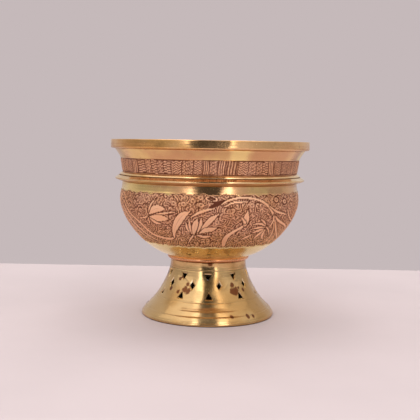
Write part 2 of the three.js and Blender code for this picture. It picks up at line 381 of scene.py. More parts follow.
LEAVES = (
    # left cluster
    (((-40, 12.6), (-38.5, 9), (-36.5, 6.2), (-34, 3.8)), (0.2, 0.5, 0.5, 0.1)),
    (((-40.6, 12.8), (-41.2, 9.5), (-40.2, 6.4)), (0.2, 0.45, 0.1)),
    (((-39.2, 12), (-34.5, 9.1), (-30.5, 8.4), (-27, 8.6)), (0.3, 2.1, 1.7, 0.1)),
    (((-39, 12.9), (-33, 11.8), (-27, 10.9), (-19.5, 9.7)), (0.15, 0.5, 0.55, 0.2)),
    (((-39.4, 13.6), (-34, 14.1), (-29, 14), (-25.4, 14.2)), (0.3, 2.0, 1.6, 0.1)),
    (((-39.6, 14.4), (-36.5, 16.6), (-31.6, 17.6)), (0.2, 1.1, 0.1)),
    # ribbon
    (((-25, 26.6), (-24, 23), (-21.8, 19), (-18.8, 14.8), (-15.6, 11.6), (-11.5, 9.4)),
     (0.3, 0.9, 1.6, 2.2, 1.9, 0.3)),
    # middle cluster
    (((-11.6, 22.8), (-13.7, 19.5), (-14.3, 15.2)), (0.3, 0.8, 0.15)),
    (((-11, 23.4), (-11.9, 18.5), (-12, 13.2)), (0.35, 0.75, 0.2)),
    (((-10, 23.2), (-9, 19), (-8, 16), (-6.8, 13.2)), (0.4, 1.5, 1.4, 0.15)),
    (((-7.2, 21.4), (-5.3, 18), (-4.8, 15.5), (-4.6, 12.6)), (0.3, 0.9, 0.8, 0.15)),
    (((-5, 20.6), (-1.8, 17), (1.6, 13.4), (5.9, 10.2)), (0.3, 1.3, 1.4, 0.15)),
    (((-6, 22.4), (-2, 20.4), (1.6, 19.8), (5, 18.8)), (0.3, 1.5, 1.4, 0.15)),
    (((-8, 23.8), (-3, 25), (1.4, 24.6)), (0.3, 1.1, 0.2)),
    # bud
    (((23.4, 17.2), (23, 13.6), (23.4, 8.4)), (0.7, 2.1, 0.15)),
    (((23, 15.6), (20, 12.4)), (0.7, 0.3)),
    # right cluster
    (((40, 18.2), (37, 15.6), (33.4, 13.4)), (0.25, 0.6, 0.15)),
    (((39.4, 18.3), (34.5, 16.6), (28.6, 16.6)), (0.25, 0.75, 0.15)),
    (((39.4, 19.2), (34, 19), (28.4, 20)), (0.25, 0.7, 0.15)),
    (((39.6, 20), (35, 21.2), (30.2, 22.6)), (0.3, 1.1, 0.15)),
    (((39.8, 20.6), (36.6, 24.2), (34.4, 27.6)), (0.3, 0.9, 0.15)),
    (((40.6, 20.8), (41, 25), (44.4, 28.4)), (0.3, 0.9, 0.15)),
    (((31.4, 23.6), (27.5, 25.4), (23.4, 27.6)), (0.2, 0.8, 0.15)),
    # leaves of the filler
    (((93, 13.6), (88, 9), (82, 7)), (0.3, 1.5, 0.1)),
    (((93, 13.6), (91, 7.6), (86, 2.8)), (0.3, 1.3, 0.1)),
    (((93, 14), (86, 14.4), (79, 12.4)), (0.3, 1.2, 0.1)),
    (((88, 18.4), (95, 19), (103, 15)), (0.3, 1.6, 0.1)),
    (((88, 18.8), (95, 22.4), (104, 22.6)), (0.3, 1.5, 0.1)),
    (((76, 25), (74, 30), (70, 33)), (0.3, 0.9, 0.1)),
)
SUNK_LEAVES = ((((0.6, 6.9), (4.6, 5.0), (9, 3.2)), (0.2, 1.1, 0.3)),)
# Larger rings among the marks: degrees, mm down, radius in mm.
RINGS = ((-5, 1.8, 1.5), (-4.6, 5.8, 1.6), (44.4, 3.2, 2.0), (52.6, 4.4, 2.1), (-15, 5.4, 1.5),
         (-21, 5.2, 1.5), (26, 5.8, 1.5))

# An eye shaped like a lens under the plain band, from its rim to its pupil: path, half widths,
# level and moat.
EYE = (
    (((-1.4, 2.2), (1, 2.2), (3.8, 2.6)), (0.8, 1.7, 1.0), 0.9, 0.5),
    (((-0.6, 2.2), (1.2, 2.3), (3.2, 2.5)), (0.4, 1.1, 0.5), 0.05, 0.1),
    (((0.4, 2.5), (2.4, 2.5)), (0.25, 0.4, 0.25), 0.45, 0.1),
)
MARK_PITCH = 2.4  # millimetres between the punched marks of the ground
MARK_SHARES = {"hook": 0.45, "bars": 0.5, "ring": 0.05}


def belly_engraving(degrees, arc, radius):
    """The relief over the belly's engraved band."""
    made = Engraving(degrees, arc, radius)
    for row in range(int(arc[-1] / MARK_PITCH) + 1):
        down = (row + 0.5) * MARK_PITCH
        count = round(np.interp(down, arc, radius) * math.pi / MARK_PITCH)
        for k in range(count):
            turn = (k + 0.5 * (row % 2) + RANDOM.uniform(-0.3, 0.3)) * 180 / count
            kind = RANDOM.choice(list(MARK_SHARES), p=list(MARK_SHARES.values()))
            made.mark(turn, down + RANDOM.uniform(-0.5, 0.5), RANDOM.uniform(1.2, 1.8),
                      RANDOM.uniform(0, 6.28), kind)
    for turn, down, size in RINGS:
        made.mark(turn, down, size, 0.3, "ring")
    for path, widths in SUNK_LEAVES:
        made.stroke(path, widths, level=0.0, moat=0.3)
    for path, widths, level, moat in EYE:
        made.stroke(path, widths, level=level, moat=moat)
    for path, widths in STEMS:
        made.stroke(path, widths, vein=0.25)
    for path, widths in LEAVES:
        made.stroke(path, widths, vein=0.55 * (max(widths) > 1.0), moat=0.55)
    made.border(0, 1)
    made.border(arc[-1], -1)
    return made


# ---- relief of the neck

PANELS = 66  # round the neck


def neck_engraving(degrees, share):
    """Panels of upright, ticked, stacked and curled cuts, between two border lines.

    share runs from 0 at the foot of the band to 1 at its top.
    """
    turn, up = np.meshgrid(degrees, share)
    place = turn / 360 * PANELS + 0.25 * np.sin(turn * DEGREE * 11) + 0.05 * np.sin(up * 4 + turn / 9)
    cell = np.floor(place)
    across = place - cell
    pick = cell.astype(int) % PANELS
    random = RANDOM.uniform(0, 1, PANELS)[pick]
    kind = RANDOM.integers(0, 5, PANELS)[pick]
    lane = np.floor(across * 4)
    in_lane = across * 4 - lane
    bend = 0.05 * np.sin(2 * math.pi * (up * 1.3 + random))
    upright = np.cos(2 * math.pi * (across * 4 + bend))
    broken = 0.5 * np.cos(2 * math.pi * (up * 3.1 + random * 5 + lane * 0.37))
    side = np.where(lane % 2 == 0, 1, -1)
    ticks = np.cos(2 * math.pi * (up * 6.4 + side * (in_lane - 0.5) * 0.9 + random))
    half = np.floor(across * 2)
    stacked = np.cos(2 * math.pi * (up * 6 + 0.5 * half + 0.5 * (across * 2 - half - 0.5) ** 2 + random))
    curl_x = across * 3 % 1 - 0.5
    curl_y = (up * 4.4 + random + 0.5 * (np.floor(across * 3) % 2)) % 1 - 0.5
    curls = -np.cos(2 * math.pi * np.hypot(curl_x, curl_y) * 2.1 + 0.8 * np.arctan2(curl_y, curl_x))
    picked = np.select([kind == 0, kind == 1, kind == 2, kind == 3],
                       [upright, upright + broken, ticks, stacked], curls)
    relief = np.clip(0.5 + 0.5 * picked, 0, 1)
    relief = relief * np.clip(np.minimum(across, 1 - across) / 0.08, 0.2, 1)
    border = np.minimum(up + 0.02 * np.sin(turn / 3), 1 - up + 0.03 * np.sin(turn / 5))
    relief = np.where(border < 0.06, 0.1, relief)
    return 0.15 + 0.85 * relief


# ---- materials

class Nodes:
    """The node tree of a material or a world, being written."""

    def __init__(self, owner):
        owner.use_nodes = True
        self.owner = owner
        self.tree = owner.node_tree
        self.shader = self.tree.nodes.get("Principled BSDF")

    def node(self, kind, inputs=(), **settings):
        made = self.tree.nodes.new(kind)
        for key, value in settings.items():
            setattr(made, key, value)
        for key, value in dict(inputs).items():
            self.put(made.inputs[key], value)
        return made

    def put(self, socket, value):
        """Gives an input a number or colour, or links another node's output to it."""
        if isinstance(value, bpy.types.NodeSocket):
            self.tree.links.new(value, socket)
        else:
            socket.default_value = value

    def set(self, name, value):
        """Sets an input of the shader."""
        self.put(self.shader.inputs[name], value)

    def split(self, vector):
        parts = self.node("ShaderNodeSeparateXYZ", {0: vector}).outputs
        return parts["X"], parts["Y"], parts["Z"]

    def bump(self, strength, distance, height, **inputs):
        """The surface's normal, dented by a height of 0 to 1 over a distance in metres."""
        inputs.update(Strength=strength, Distance=distance, Height=height)
        return self.node("ShaderNodeBump", inputs).outputs["Normal"]

    def math(self, operation, a, b=0.0, clamp=False):
        made = self.node("ShaderNodeMath", {0: a, 1: b}, operation=operation, use_clamp=clamp)
        return made.outputs[0]

    def ramp(self, value, low, high, to_low=0.0, to_high=1.0, shape="SMOOTHSTEP"):
        """Rises from to_low to to_high as the value goes from low to high."""
        inputs = {"Value": value, "From Min": low, "From Max": high, "To Min": to_low,
                  "To Max": to_high}
        return self.node("ShaderNodeMapRange", inputs, interpolation_type=shape).outputs["Result"]

    def mix(self, kind, amount, a, b):
        made = self.node("ShaderNodeMix", data_type=kind)
        for name, value in (("Factor", amount), ("A", a), ("B", b)):
            self.put(made.inputs[name], value)
        return made.outputs["Result"]

    def blend(self, amount, a, b):
        return self.mix("RGBA", amount, a, b)

    def tint(self, colour, other, value, low, high, most=1.0):
        """The colour, with more of the other one as the value goes from low to high."""
        return self.blend(self.ramp(value, low, high, 0.0, most), colour, other)

    def position(self):
        return self.node("ShaderNodeNewGeometry").outputs["Position"]

    def noise(self, scale, detail=3.0, vector=None, rough=0.5):
        inputs = {"Vector": vector or self.position(), "Scale": scale, "Detail": detail,
                  "Roughness": rough}
        return self.node("ShaderNodeTexNoise", inputs).outputs["Fac"]

    def attribute(self, name):
        return self.node("ShaderNodeAttribute", attribute_name=name).outputs["Fac"]

    def lathe_lines(self, scale):
        """Fine lines round the axis: noise over radius and height only."""
        x, y, z = self.split(self.position())
        square = self.math("ADD", self.math("MULTIPLY", x, x), self.math("MULTIPLY", y, y))
        radius = self.math("SQRT", square)
        join = self.node("ShaderNodeCombineXYZ", {"X": radius, "Y": 0.0, "Z": z})
        return self.noise(scale, 2.0, join.outputs[0], 0.6)

    def brass(self, main, warm, tarnish_and_shade, roughness, lines=0.25, dents=0.1, stains=0.0):
        """Writes turned brass into the shader, and gives its colour and its roughness."""
        colour = self.tint(main, warm, self.noise(38, 4.0), 0.42, 0.6)
        relief = self.attribute("relief")
        # tarnish in cuts and grooves, and painted shade where relief is lowered for it: under the waist
        # flange's fin and along the foot's bottom edge
        colour = self.tint(colour, tarnish_and_shade, relief, 0.75, 0.15)
        colour = self.tint(colour, tarnish_and_shade, self.noise(140, 5.0, rough=0.65), 0.56, 0.78, 0.4)
        if stains:
            ragged = self.math("MULTIPLY", self.noise(420, 4.0, rough=0.6), 1.2)
            edge = self.math("ADD", self.attribute("stain"), ragged)
            colour = self.tint(colour, linear(106, 52, 29), edge, 0.86, 1.12, stains)
            # painted highlight on the foot's bevels
            colour = self.blend(self.math("MULTIPLY", self.attribute("painted_bevel_highlight"), 0.6), colour,
                                linear(255, 238, 200))
        rough = self.ramp(self.noise(90, 3.0), 0.3, 0.75, roughness * 0.75, roughness * 1.35)
        rough = self.math("ADD", rough, self.ramp(self.noise(1500, 2.0), 0.66, 0.8, 0.0, 0.2))
        rough = self.math("ADD", rough, self.ramp(relief, 0.9, 0.1, 0.0, 0.25))
        rough = self.math("ADD", rough, self.math("MULTIPLY", self.attribute("dull"), 0.2))
        self.set("Base Color", colour)
        self.set("Roughness", rough)
        self.set("Metallic", 1.0)
        fine = self.bump(lines, 0.00004, self.lathe_lines(2600))
        hammered = self.math("ADD", self.noise(75, 1.0),
                             self.math("MULTIPLY", self.lathe_lines(260), 0.2))
        self.set("Normal", self.bump(dents, 0.0012, hammered, Normal=fine))
        return colour, rough


LOW_BELLY = (BAND_BOTTOM + 1.2) * MM  # the belly is at its yellowest below this height, where its plain brass is also painted paler, a painted reflection of the table


def linear(r, g, b):
    """A colour given in the usual 0 to 255 display values, as linear light with alpha."""
    return tuple(((c / 255 + 0.055) / 1.055) ** 2.4 for c in (r, g, b)) + (1.0,)


def turned_metal(name, main, warm, tarnish_and_shade, roughness, **finish):
    """Lathe-turned metal: two tones in clouds, dark grooves, tool lines, scratches and dents."""
    n = Nodes(bpy.data.materials.new(name))
    n.brass(main, warm, tarnish_and_shade, roughness, **finish)
    return n.owner


def copper_wash(n, height, relief, plain):
    """Colour of the engraving: copper pink, paler where raised, browner and darker in cuts."""
    clouds = n.noise(60, 4.0)
    raised = n.tint(linear(255, 204, 164), linear(250, 192, 146), clouds, 0.35, 0.68)
    ground = n.tint(linear(244, 184, 150), linear(240, 174, 124), clouds, 0.35, 0.68)
    ground = n.tint(ground, linear(255, 198, 130), height, LOW_BELLY + 12 * MM, LOW_BELLY)
    ground = n.tint(ground, raised, relief, 0.5, 0.85, 0.85)
    ground = n.tint(ground, linear(150, 98, 72), n.noise(1300, 2.0), 0.35, 0.65, 0.3)
    colour = n.blend(plain, ground, raised)
    cells = n.node("ShaderNodeTexVoronoi", {"Vector": n.position(), "Scale": 900.0},
                   feature="DISTANCE_TO_EDGE").outputs["Distance"]
    cuts = n.math("MULTIPLY", n.ramp(cells, 0.12, 0.02, 0.0, 0.45), n.math("SUBTRACT", 1.0, plain))
    depth = n.math("ADD", n.ramp(relief, 0.7, 0.1), cuts, clamp=True)
    return n.blend(depth, colour, linear(112, 62, 42))


def engraved_metal(name, main, warm, tarnish_and_shade):
    """Brass where it is plain, yellower low down and where rubbed, painted paler low down as a painted
    reflection of the table, and copper in engravings.
    """
    n = Nodes(bpy.data.materials.new(name))
    brass_colour, brass_rough = n.brass(main, warm, tarnish_and_shade, 0.18, dents=0.4)
    height = n.split(n.position())[2]
    # yellow brass low down, painted paler there as a painted reflection of the table beneath
    brass_colour = n.tint(brass_colour, linear(255, 234, 172), height, LOW_BELLY + 6 * MM, LOW_BELLY)
    rubbed = n.math("ADD", n.attribute("rubbed"), n.math("MULTIPLY", n.noise(160, 3.0), 0.6))
    brass_colour = n.tint(brass_colour, linear(255, 224, 152), rubbed, 0.5, 1.0)
    relief = n.attribute("relief")
    engraved = n.attribute("engraved")
    colour = copper_wash(n, height, relief, n.attribute("plain"))
    grain = n.ramp(n.noise(2200, 3.0), 0.4, 0.8, 0.0, 0.14)
    rough = n.math("ADD", n.ramp(relief, 1.0, 0.0, 0.42, 0.62), grain)
    n.set("Base Color", n.blend(engraved, brass_colour, colour))
    n.set("Roughness", n.mix("FLOAT", engraved, brass_rough, rough))
    n.set("Metallic", n.math("SUBTRACT", 1.0, n.math("MULTIPLY", engraved, 0.22)))
    return n.owner


def plated_steel(name):
    """Dull zinc plating with specks of rust."""
    n = Nodes(bpy.data.materials.new(name))
    clouds = n.noise(400, 4.0)
    colour = n.tint(linear(196, 196, 190), linear(168, 162, 146), clouds, 0.35, 0.7)
    n.set("Base Color", n.tint(colour, linear(122, 82, 52), n.noise(700, 4.0), 0.62, 0.78, 0.7))
    n.set("Roughness", n.ramp(clouds, 0.3, 0.7, 0.3, 0.5))
    n.set("Metallic", 1.0)
    n.set("Normal", n.bump(0.3, 0.00005, n.lathe_lines(3000)))
    return n.owner


# ---- pieces

def make_plain(name, node, material, points, columns=COLUMNS):
    """A turned piece with no engraving, from its closed outline."""
    rings = Rings(columns)
    rings.add_all(points)
    settle(turned(name, rings), node, material)


def make_rim_band(material):
    """A thick band with a rebate inside, let down over the neck."""
    points = outline(
        (REBATE_RADIUS, RIM_BOTTOM),
        (RIM_RADIUS - 1.5, RIM_BOTTOM, 0.3),
        (RIM_RADIUS - 0.3, RIM_BOTTOM + 0.3, 0.25),
        (RIM_RADIUS, RIM_BOTTOM + 0.9, 0.3),
        (RIM_RADIUS, RIM_TOP, 0.5),
        (RIM_BORE, RIM_TOP, 1.0),
        (RIM_BORE, NECK_TOP),
        (REBATE_RADIUS, NECK_TOP),
    )
    make_plain("rim_band_turned", "rim_band", material, points)


# Where the cove is rubbed back to yellow brass: degrees from the front, and reach.
RUBBED = ((17, 10), (74, 9), (128, 12), (-104, 10), (-160, 13))


def make_neck_collar(material):
    """Cove above, engraved band below, and a plain inside."""
    depth = 0.34
    cove = bezier((NECK_TOP_RADIUS, COVE_BOTTOM), (NECK_TOP_RADIUS + 0.3, COVE_BOTTOM + 1.6),
                  (COVE_RADIUS - 0.9, RIM_BOTTOM - 1.8), (COVE_RADIUS, RIM_BOTTOM - 0.25))
    rings = Rings()
    rings.add_all([(SPIGOT_RADIUS, BUTT_JOINT), (SPIGOT_RADIUS, NECK_BOTTOM),
                   (NECK_BOTTOM_RADIUS, NECK_BOTTOM)])
    heights = np.linspace(NECK_BOTTOM + 0.25, COVE_BOTTOM - 0.1, 23)
    degrees = 360 * np.arange(ENGRAVED_COLUMNS) / ENGRAVED_COLUMNS
    relief = neck_engraving(degrees, np.linspace(0, 1, len(heights)))
    for height, row in zip(heights, relief):
        radius = np.interp(height, (NECK_BOTTOM, COVE_BOTTOM), (NECK_BOTTOM_RADIUS, NECK_TOP_RADIUS))
        rings.add(radius - depth * (1 - row), height, row, 0.0, 1.0)
    rings.add_all(cove)
    inner = outline(
        (COVE_RADIUS, RIM_BOTTOM - 0.1),
        (COVE_RADIUS - 0.4, RIM_BOTTOM),
        (REBATE_RADIUS, RIM_BOTTOM),
        (REBATE_RADIUS, NECK_TOP),
        (RIM_BORE, NECK_TOP),
        (RIM_BORE, NECK_TOP - 0.4),
        (NECK_TOP_RADIUS - WALL, COVE_BOTTOM, 1.2),
        (SPIGOT_BORE, NECK_BOTTOM, 0.8),
        (SPIGOT_BORE, BUTT_JOINT),
        closed=False,
    )
    rings.add_all(inner)
    piece = turned("neck_collar_engraved", rings)
    turn, _, height = places(piece.data)
    rubbed = sum(np.clip(1 - np.abs(turn - azimuth) / reach, 0, 1) for azimuth, reach in RUBBED)
    write_attribute(piece.data, "rubbed", rubbed * (height > COVE_BOTTOM))
    settle(piece, "neck_collar", material)


def make_waist_flange(material):
    """Root bead, groove, and a fin with a thin bright edge."""
    groove = (FLANGE_RADIUS - 2.9, NECK_BOTTOM - 1.75)
    points = outline(
        (SPIGOT_RADIUS, FLANGE_BOTTOM),
        (NECK_BOTTOM_RADIUS + 0.3, FLANGE_BOTTOM, 0.1),
        (FLANGE_RADIUS - 0.5, FLANGE_BOTTOM + 1.15, 0.2),
        (FLANGE_RADIUS, FLANGE_BOTTOM + 1.4, 0.15),
        (FLANGE_RADIUS, FLANGE_BOTTOM + 2.1, 0.15),
        (FLANGE_RADIUS - 0.35, FLANGE_BOTTOM + 2.3, 0.15),
        (FLANGE_RADIUS - 2.2, NECK_BOTTOM - 1.65, 0.2),
        (*groove, 0.15),
        (FLANGE_RADIUS - 2.55, NECK_BOTTOM - 1.15, 0.3),
        (FLANGE_RADIUS - 3.1, NECK_BOTTOM - 0.35, 0.4),
        (NECK_BOTTOM_RADIUS, NECK_BOTTOM),
        (SPIGOT_RADIUS, NECK_BOTTOM),
    )
    turn = 2 * math.pi * np.arange(COLUMNS) / COLUMNS
    waver = 0.09 * np.sin(3 * turn + 1) + 0.06 * np.sin(8 * turn) + 0.05 * np.sin(17 * turn + 2)
    rings = Rings()
    for radius, height in points:
        off_groove = math.dist((radius, height), groove)
        reach = np.clip((radius - NECK_BOTTOM_RADIUS - 0.5) / 2, 0, 1)
        # painted shade lies under the fin, and tarnish runs from the groove out over the fin's upper
        # face
        painted_shade = 0.45 if radius > NECK_BOTTOM_RADIUS and height < FLANGE_BOTTOM + 1.2 else 1.0
        spread = 1.8 if height < NECK_BOTTOM - 1.6 else 0.5
        rings.add(radius, height + waver * reach, relief=min(painted_shade, 0.1 + off_groove / spread))
    settle(turned("waist_flange_turned", rings), "waist_flange", material)


def belly_outside():
    """The belly from the bead up to the flange, in steps of 0.1 mm."""
    upper = bezier((BELLY_RADIUS, BELLY_WIDEST), (BELLY_RADIUS, BELLY_WIDEST + 3.5),
                   (NECK_BOTTOM_RADIUS, FLANGE_BOTTOM - 3.5), (NECK_BOTTOM_RADIUS, FLANGE_BOTTOM),
                   0.1)
    lower = bezier((BELLY_FOOT_RADIUS, BELLY_FOOT), (BELLY_FOOT_RADIUS + 13, BELLY_FOOT + 4),
                   (BELLY_RADIUS, BELLY_WIDEST - 11.6), (BELLY_RADIUS, BELLY_WIDEST), 0.1)
    return np.vstack([lower, upper[1:]])


def add_engraved_band(rings, band):
    """Adds the engraved band to the belly's rings, sunk below its surface where it is cut."""
    depth = 0.5
    arc = np.concatenate([[0], np.cumsum(np.hypot(*np.diff(band, axis=0).T))])
    rows = np.linspace(0, arc[-1], 73)
    ring = np.stack([np.interp(rows, arc, band[:, k]) for k in (0, 1)], 1)
    half = ENGRAVED_COLUMNS // 2
    made = belly_engraving(180 * np.arange(half) / half, rows, ring[::-1, 0])
    sheets = [np.tile(sheet[::-1], (1, 2)) for sheet in (made.height, made.plain, made.engraved)]
    for place, out, relief, plain, cut in zip(ring, normals_of(ring), *sheets):
        sunk = depth * (1 - relief)
        rings.add(place[0] - out[0] * sunk, place[1] - out[1] * sunk, relief, plain, cut)


def make_belly_bowl(material):
    """Boss, plain underside, engraved band, plain band, and a smooth inside."""
    shape = belly_outside()
    seam = BELLY_FOOT + 0.55  # a dark line turned just above the bead
    rings = Rings()
    rings.add_all([(0, STUD_TOP), (BOLT_HOLE, STUD_TOP), (BOLT_HOLE, FOOT_TOP + 0.3),
                   (BOLT_HOLE + 0.3, FOOT_TOP), (BOSS_RADIUS, FOOT_TOP),
                   (BOSS_RADIUS, BELLY_FOOT - 0.1)])
    under = shape[shape[:, 1] < BAND_BOTTOM][::6]
    for radius, height in scored(under, [(seam, 0.3, 0.2), (BELLY_FOOT + 5.6, 0.12, 0.2)]):
        rings.add(radius, height, 1 - math.exp(-(((height - seam) / 0.25) ** 2)))
    add_engraved_band(rings, shape[(shape[:, 1] >= BAND_BOTTOM) & (shape[:, 1] <= BAND_TOP)])
    above = shape[shape[:, 1] > BAND_TOP][::6]
    rings.add_all(scored(above, [(BAND_TOP + 0.55, 0.12, 0.15)]))
    rings.add_all([(SPIGOT_RADIUS, FLANGE_BOTTOM), (SPIGOT_RADIUS, BUTT_JOINT),
                   (SPIGOT_BORE, BUTT_JOINT)])
    rings.add_all(bezier((SPIGOT_BORE, FLANGE_BOTTOM), (SPIGOT_BORE, FLANGE_BOTTOM - 3),
                         (BELLY_BORE, BELLY_WIDEST + 3), (BELLY_BORE, BELLY_WIDEST + 0.5), 2.0))
    rings.add_all(bezier((BELLY_BORE, BELLY_WIDEST), (BELLY_BORE, BELLY_WIDEST - 12),
                         (BELLY_FOOT_RADIUS + 12, FLOOR), (BOSS_RADIUS - 8, FLOOR), 2.0))
    rings.add_all([(9, FLOOR), (5, FLOOR - 0.02), (1.2, FLOOR - 0.05), (0, FLOOR - 0.15)])
    piece = turned("belly_bowl_engraved", rings, closed=False)
    settle(piece, "belly_bowl", material)


def make_base_collar(material):
    """The round bead between belly and foot."""
    points = outline(
        (BOSS_RADIUS + 0.1, FOOT_TOP),
        bezier((FOOT_NECK_RADIUS, FOOT_TOP + 0.12), (BEAD_RADIUS + 0.5, FOOT_TOP + 0.3),
               (BEAD_RADIUS + 0.5, BELLY_FOOT - 0.5), (BEAD_RADIUS - 1.0, BELLY_FOOT), 0.3),
        (BOSS_RADIUS + 0.1, BELLY_FOOT),
    )
    make_plain("base_collar_turned", "base_collar", material, points)


# Rows of piercings: outline corners as shares of width and height, height of the middle,
# width, height, the turn of the row in shares of the pitch, and how many degrees each hole,
# cut by hand, lies off its even place.
TRIANGLE_DOWN = ((-0.5, 0.5), (0, -0.5), (0.5, 0.5))
DIAMOND = ((-0.5, 0), (0, -0.5), (0.5, 0), (0, 0.5))
TRIANGLE_UP = ((-0.5, -0.5), (0.5, -0.5), (0, 0.5))
PIERCING_ROWS = (
    (TRIANGLE_DOWN, 24.5, 3.5, 3.3, 0.0, (0, 2, 3, 1, -1, -2, 0, 1, 3, 1)),
    (DIAMOND, 20.1, 2.7, 4.1, 0.5, (-3, 1, 2, -1, 1, 2, 0, -1, -1, -2.5)),
    (TRIANGLE_UP, 14.8, 3.4, 3.1, 0.0, (1.5, 5, 5, 3, 2, 1, 0, 2, 5, 3.5)),
)
# The flare from the shoulder up to the foot's neck.
FLARE = bezier((SHOULDER_RADIUS, SHOULDER), (SHOULDER_RADIUS - 7.4, SHOULDER + 7.1),
               (FOOT_NECK_RADIUS, FOOT_TOP - 7.7), (FOOT_NECK_RADIUS, FOOT_TOP - 1.3), 0.4)
# How far a cutter reaches from the flare's surface, and its bevel's bottom, in millimetres.
BEVEL_OUT, BEVEL_IN, WALL_THROUGH = 1.2, 0.5, 6.0


def flare_radius(height):
    """The foot's outer radius at a height on its flare."""
    return np.interp(height, FLARE[:, 1], FLARE[:, 0])


def cutter(row, index):
    """Rings of corners of one piercing's cutter: straight inside, flared at the surface."""
    corners, middle, width, tall, turn, offsets = row
    lean = math.atan2(flare_radius(middle - 1) - flare_radius(middle + 1), 2)
    angle = ((index + turn) * 360 / PIERCINGS_PER_ROW + offsets[index]) * DEGREE
    turn_in = RANDOM.uniform(-0.09, 0.09)
    scale = RANDOM.uniform(0.9, 1.08)
    rings = []
    for out, grow in ((-WALL_THROUGH, 0), (-BEVEL_IN - 0.12, 0), (-BEVEL_IN, 0), (0, 0.8),
                      (BEVEL_OUT, 2.7)):
        ring = []
        for x, y in corners:
            length = math.hypot(x, y)
            across = x * width * scale + x / length * grow
            up = (y * tall * scale + y / length * grow) / math.cos(lean)
            across, up = (across * math.cos(turn_in) - up * math.sin(turn_in),
                          across * math.sin(turn_in) + up * math.cos(turn_in))
            reach = flare_radius(middle) + out * math.cos(lean) - up * math.sin(lean)
            height = middle + out * math.sin(lean) + up * math.cos(lean)
            ring.append(Matrix.Rotation(angle, 3, "Z") @ Vector((across, -reach, height)))
        rings.append(ring)
    return rings


def cut_piercings(piece):
    """Cuts all the piercings through the foot in one boolean."""
    tool = bmesh.new()
    for row in PIERCING_ROWS:
        for index in range(PIERCINGS_PER_ROW):
            rings = [[tool.verts.new(c * MM) for c in ring] for ring in cutter(row, index)]
            for low, high in zip(rings, rings[1:]):
                for k in range(len(low)):
                    tool.faces.new((low[k - 1], low[k], high[k], high[k - 1]))
            tool.faces.new(rings[0][::-1])
            tool.faces.new(rings[-1])
    bmesh.ops.recalc_face_normals(tool, faces=tool.faces)
    mesh = bpy.data.meshes.new("piercing_tool")
    tool.to_mesh(mesh)
    tool.free()
    helper = add_object("piercing_tool", mesh)
    cut = piece.modifiers.new("piercings", "BOOLEAN")
    cut.operation = "DIFFERENCE"
    cut.object = helper
    cut.solver = "MANIFOLD"
    bpy.context.view_layer.update()
    result = bpy.data.meshes.new_from_object(
        piece.evaluated_get(bpy.context.evaluated_depsgraph_get()))
    piece.modifiers.clear()
    result.materials.clear()  # the boolean leaves an empty one
    piece.data = result
    bpy.data.objects.remove(helper)
    result.set_sharp_from_angle(angle=35 * DEGREE)


# Rust-brown stains on the foot: degrees from the front, height, radius in mm.
STAINS = (
    (-29, 17.8, 2.8), (-24, 17.2, 2.5), (-38, 16.2, 1.7), (-41, 22.6, 1.9), (-37, 24.0, 1.2),
    (35, 16.8, 3.6), (31, 17.0, 2.3), (33, 20.2, 2.2), (42, 18.4, 1.3), (49, 17.0, 1.6),
    (3, 31.6, 2.0), (-27, 20.4, 1.7), (38, 4.4, 1.6), (44, 4.0, 1.3), (22, 4.8, 1.7), (-52, 17.0, 1.7),
    (110, 20.0, 3.2), (150, 12.0, 2.6), (200, 22.0, 2.9), (236, 16.0, 2.5), (280, 24.0, 2.3),
    (250, 8.0, 2.3), (170, 3.6, 1.7),
)
# Raised chisel lines between neighbouring piercings: degrees and height of both ends.
CHISEL_LINES = (
    (-33, 24.0, -24, 21.5), (-39, 17.0, -33, 19.6), (-23, 18.2, -29, 14.6), (28, 22.0, 36, 17.0),
    (38, 15.4, 43, 19.6), (22, 18.6, 28, 21.6), (42, 22.8, 50, 20.2), (-46, 24.0, -52, 20.0),
)


def chisel_ridges(turn, height, radius):
    """Height of the raised lines, 0 to 1, over the foot. They come three times round."""
    ridge = np.zeros(turn.shape)
    turn = (turn + 60) % 120 - 60
    for a0, z0, a1, z1 in CHISEL_LINES:
        x, y = (turn - a0) * DEGREE * radius, height - z0
        dx, dy = (a1 - a0) * DEGREE * radius, z1 - z0
        along = np.clip((x * dx + y * dy) / (dx * dx + dy * dy), 0, 1)
        away = np.hypot(x - along * dx, y - along * dy)
        ridge = np.maximum(ridge, np.exp(-((away / 0.5) ** 2)))
    return ridge


def pedestal_outline():
    """The foot's outline with its grooves, and which of its points lie on the outside."""
    inside = bezier((FOOT_BORE, WASHER_TOP), (FOOT_BORE, FOOT_TOP - 8.7),
                    (SHOULDER_RADIUS - 9.6, SHOULDER + 5.7), (SHOULDER_RADIUS - 1.8, SHOULDER - 2),
                    1.2)
    points = outline(
        (FOOT_RADIUS - 3.2, 0, 0.2),
        (FOOT_RADIUS - 0.3, 0, 0.25),
        (FOOT_RADIUS, 0.9, 0.3),
        (FOOT_RADIUS - 0.25, 1.75, 0.2),
        (FOOT_RADIUS - 0.6, 1.9, 0.15),
        (FOOT_RADIUS - 1.0, 2.9, 0.6),
        (FOOT_RADIUS - 2.2, 4.5, 0.8),
        (FOOT_RADIUS - 3.1, SHOULDER - 0.5, 0.6),
        FLARE[2:],
        (FOOT_NECK_RADIUS, FOOT_TOP - 0.1, 0.15),
        (FOOT_NECK_RADIUS - 0.6, FOOT_TOP),
        (BOLT_HOLE, FOOT_TOP),
        (BOLT_HOLE, WASHER_TOP),
        inside,
        (FOOT_RADIUS - 3.2, 1.5, 0.3),
    )
    outer = points[:, 0] > flare_radius(points[:, 1]) - 0.5
    # the second is a ridge, so its depth is below zero
    grooves = [(5.0, 0.1, 0.25), (6.9, -0.11, 0.6), (9.2, 0.05, 0.7), (LOW_LINE, 0.14, 0.25),
               (HIGH_LINE, 0.14, 0.3)]
    return np.where(outer[:, None], scored(points, grooves), points), outer


